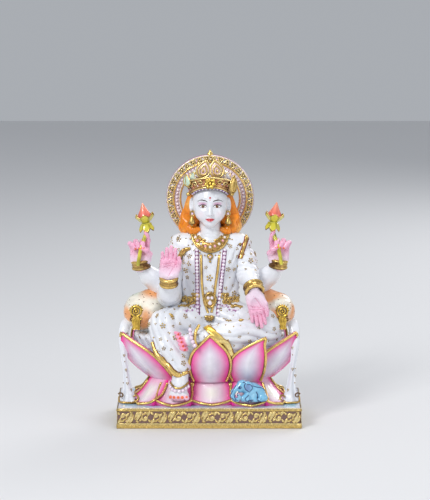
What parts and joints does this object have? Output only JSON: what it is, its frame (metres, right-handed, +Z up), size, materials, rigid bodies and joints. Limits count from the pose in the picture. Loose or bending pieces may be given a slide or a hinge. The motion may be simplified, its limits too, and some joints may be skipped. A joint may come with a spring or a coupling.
{
  "type": "deity statuette",
  "caption": "Seated four-armed figure with a ring halo on a lotus throne, on a rectangular plinth with a gilt frieze.",
  "frame": {"origin": "centre of the plinth's underside", "axes": "+Z up, the figure looks along -Y, +X towards its left hand"},
  "size_m": [0.203, 0.11, 0.2974],
  "materials": {
    "painted_plinth": "pale blue and white paint under a gloss varnish",
    "gilt_relief": "antique gold paint, dark in the recesses",
    "white_resin": "polished white marble-dust resin",
    "petal_paint": "magenta airbrushed over white, gloss varnish",
    "painted_cloth": "white, with raised gold flowers and dots",
    "painted_skin": "pink paint, gloss varnish",
    "hair_paint": "orange paint with brown strands",
    "bright_gilt": "bright gold leaf paint",
    "pearl_paint": "pearl white drops with mauve outlines",
    "halo_white": "white and gold bands",
    "halo_gilt": "gold paint",
    "cushion_paint": "cream with orange clouds and gold specks",
    "bud_paint": "salmon bud on an olive-gold stem",
    "blue_glaze": "light blue with darker outlines",
    "dowel_steel": "plain"
  },
  "bodies": {
    "root": {"plinth_block": "painted_plinth", "plinth_foot_band": "gilt_relief", "plinth_cap_band": "gilt_relief", "plinth_frieze": "gilt_relief", "lotus_core": "white_resin", "lotus_petal_front": "petal_paint", "lotus_petal_front_right": "petal_paint", "lotus_petal_right": "petal_paint", "lotus_petal_left": "petal_paint", "lotus_petals_rear": "petal_paint", "drooping_petal_front": "petal_paint", "drooping_petal_left": "petal_paint", "drooping_petal_right": "petal_paint", "drooping_petals_side": "petal_paint", "drooping_petals_rear": "petal_paint", "lower_body": "painted_cloth", "folded_foot": "painted_skin", "hanging_foot": "painted_skin", "anklet": "pearl_paint", "hem_band": "bright_gilt", "sash_end": "bright_gilt", "upper_body": "painted_cloth", "head": "white_resin", "hair": "hair_paint", "earrings": "bright_gilt", "crown_band": "bright_gilt", "crown_crest": "bright_gilt", "crown_rosette": "bright_gilt", "raised_arm": "painted_cloth", "raised_hand": "painted_skin", "raised_bangle": "bright_gilt", "lowered_arm": "painted_cloth", "lowered_hand": "painted_skin", "lowered_bangle": "bright_gilt", "rear_arm_left": "painted_cloth", "rear_hand_left": "painted_skin", "rear_bangle_left": "bright_gilt", "bud_left": "bud_paint", "rear_arm_right": "painted_cloth", "rear_hand_right": "painted_skin", "rear_bangle_right": "bright_gilt", "bud_right": "bud_paint", "necklace": "bright_gilt", "pearl_strands": "pearl_paint", "front_strips": "bright_gilt", "belt": "bright_gilt", "belt_medallion": "bright_gilt", "armlets": "bright_gilt", "bolster_left": "cushion_paint", "bolster_right": "cushion_paint", "bolster_tassels": "bright_gilt", "scarf_tail_left": "painted_cloth", "scarf_tail_right": "painted_cloth", "halo_ring": "halo_white", "halo_rim_studs": "halo_gilt", "halo_pearls": "pearl_paint", "halo_finial": "bright_gilt", "elephant": "blue_glaze", "seat_dowels": "dowel_steel", "halo_dowels": "dowel_steel"}
  },
  "joints": []
}
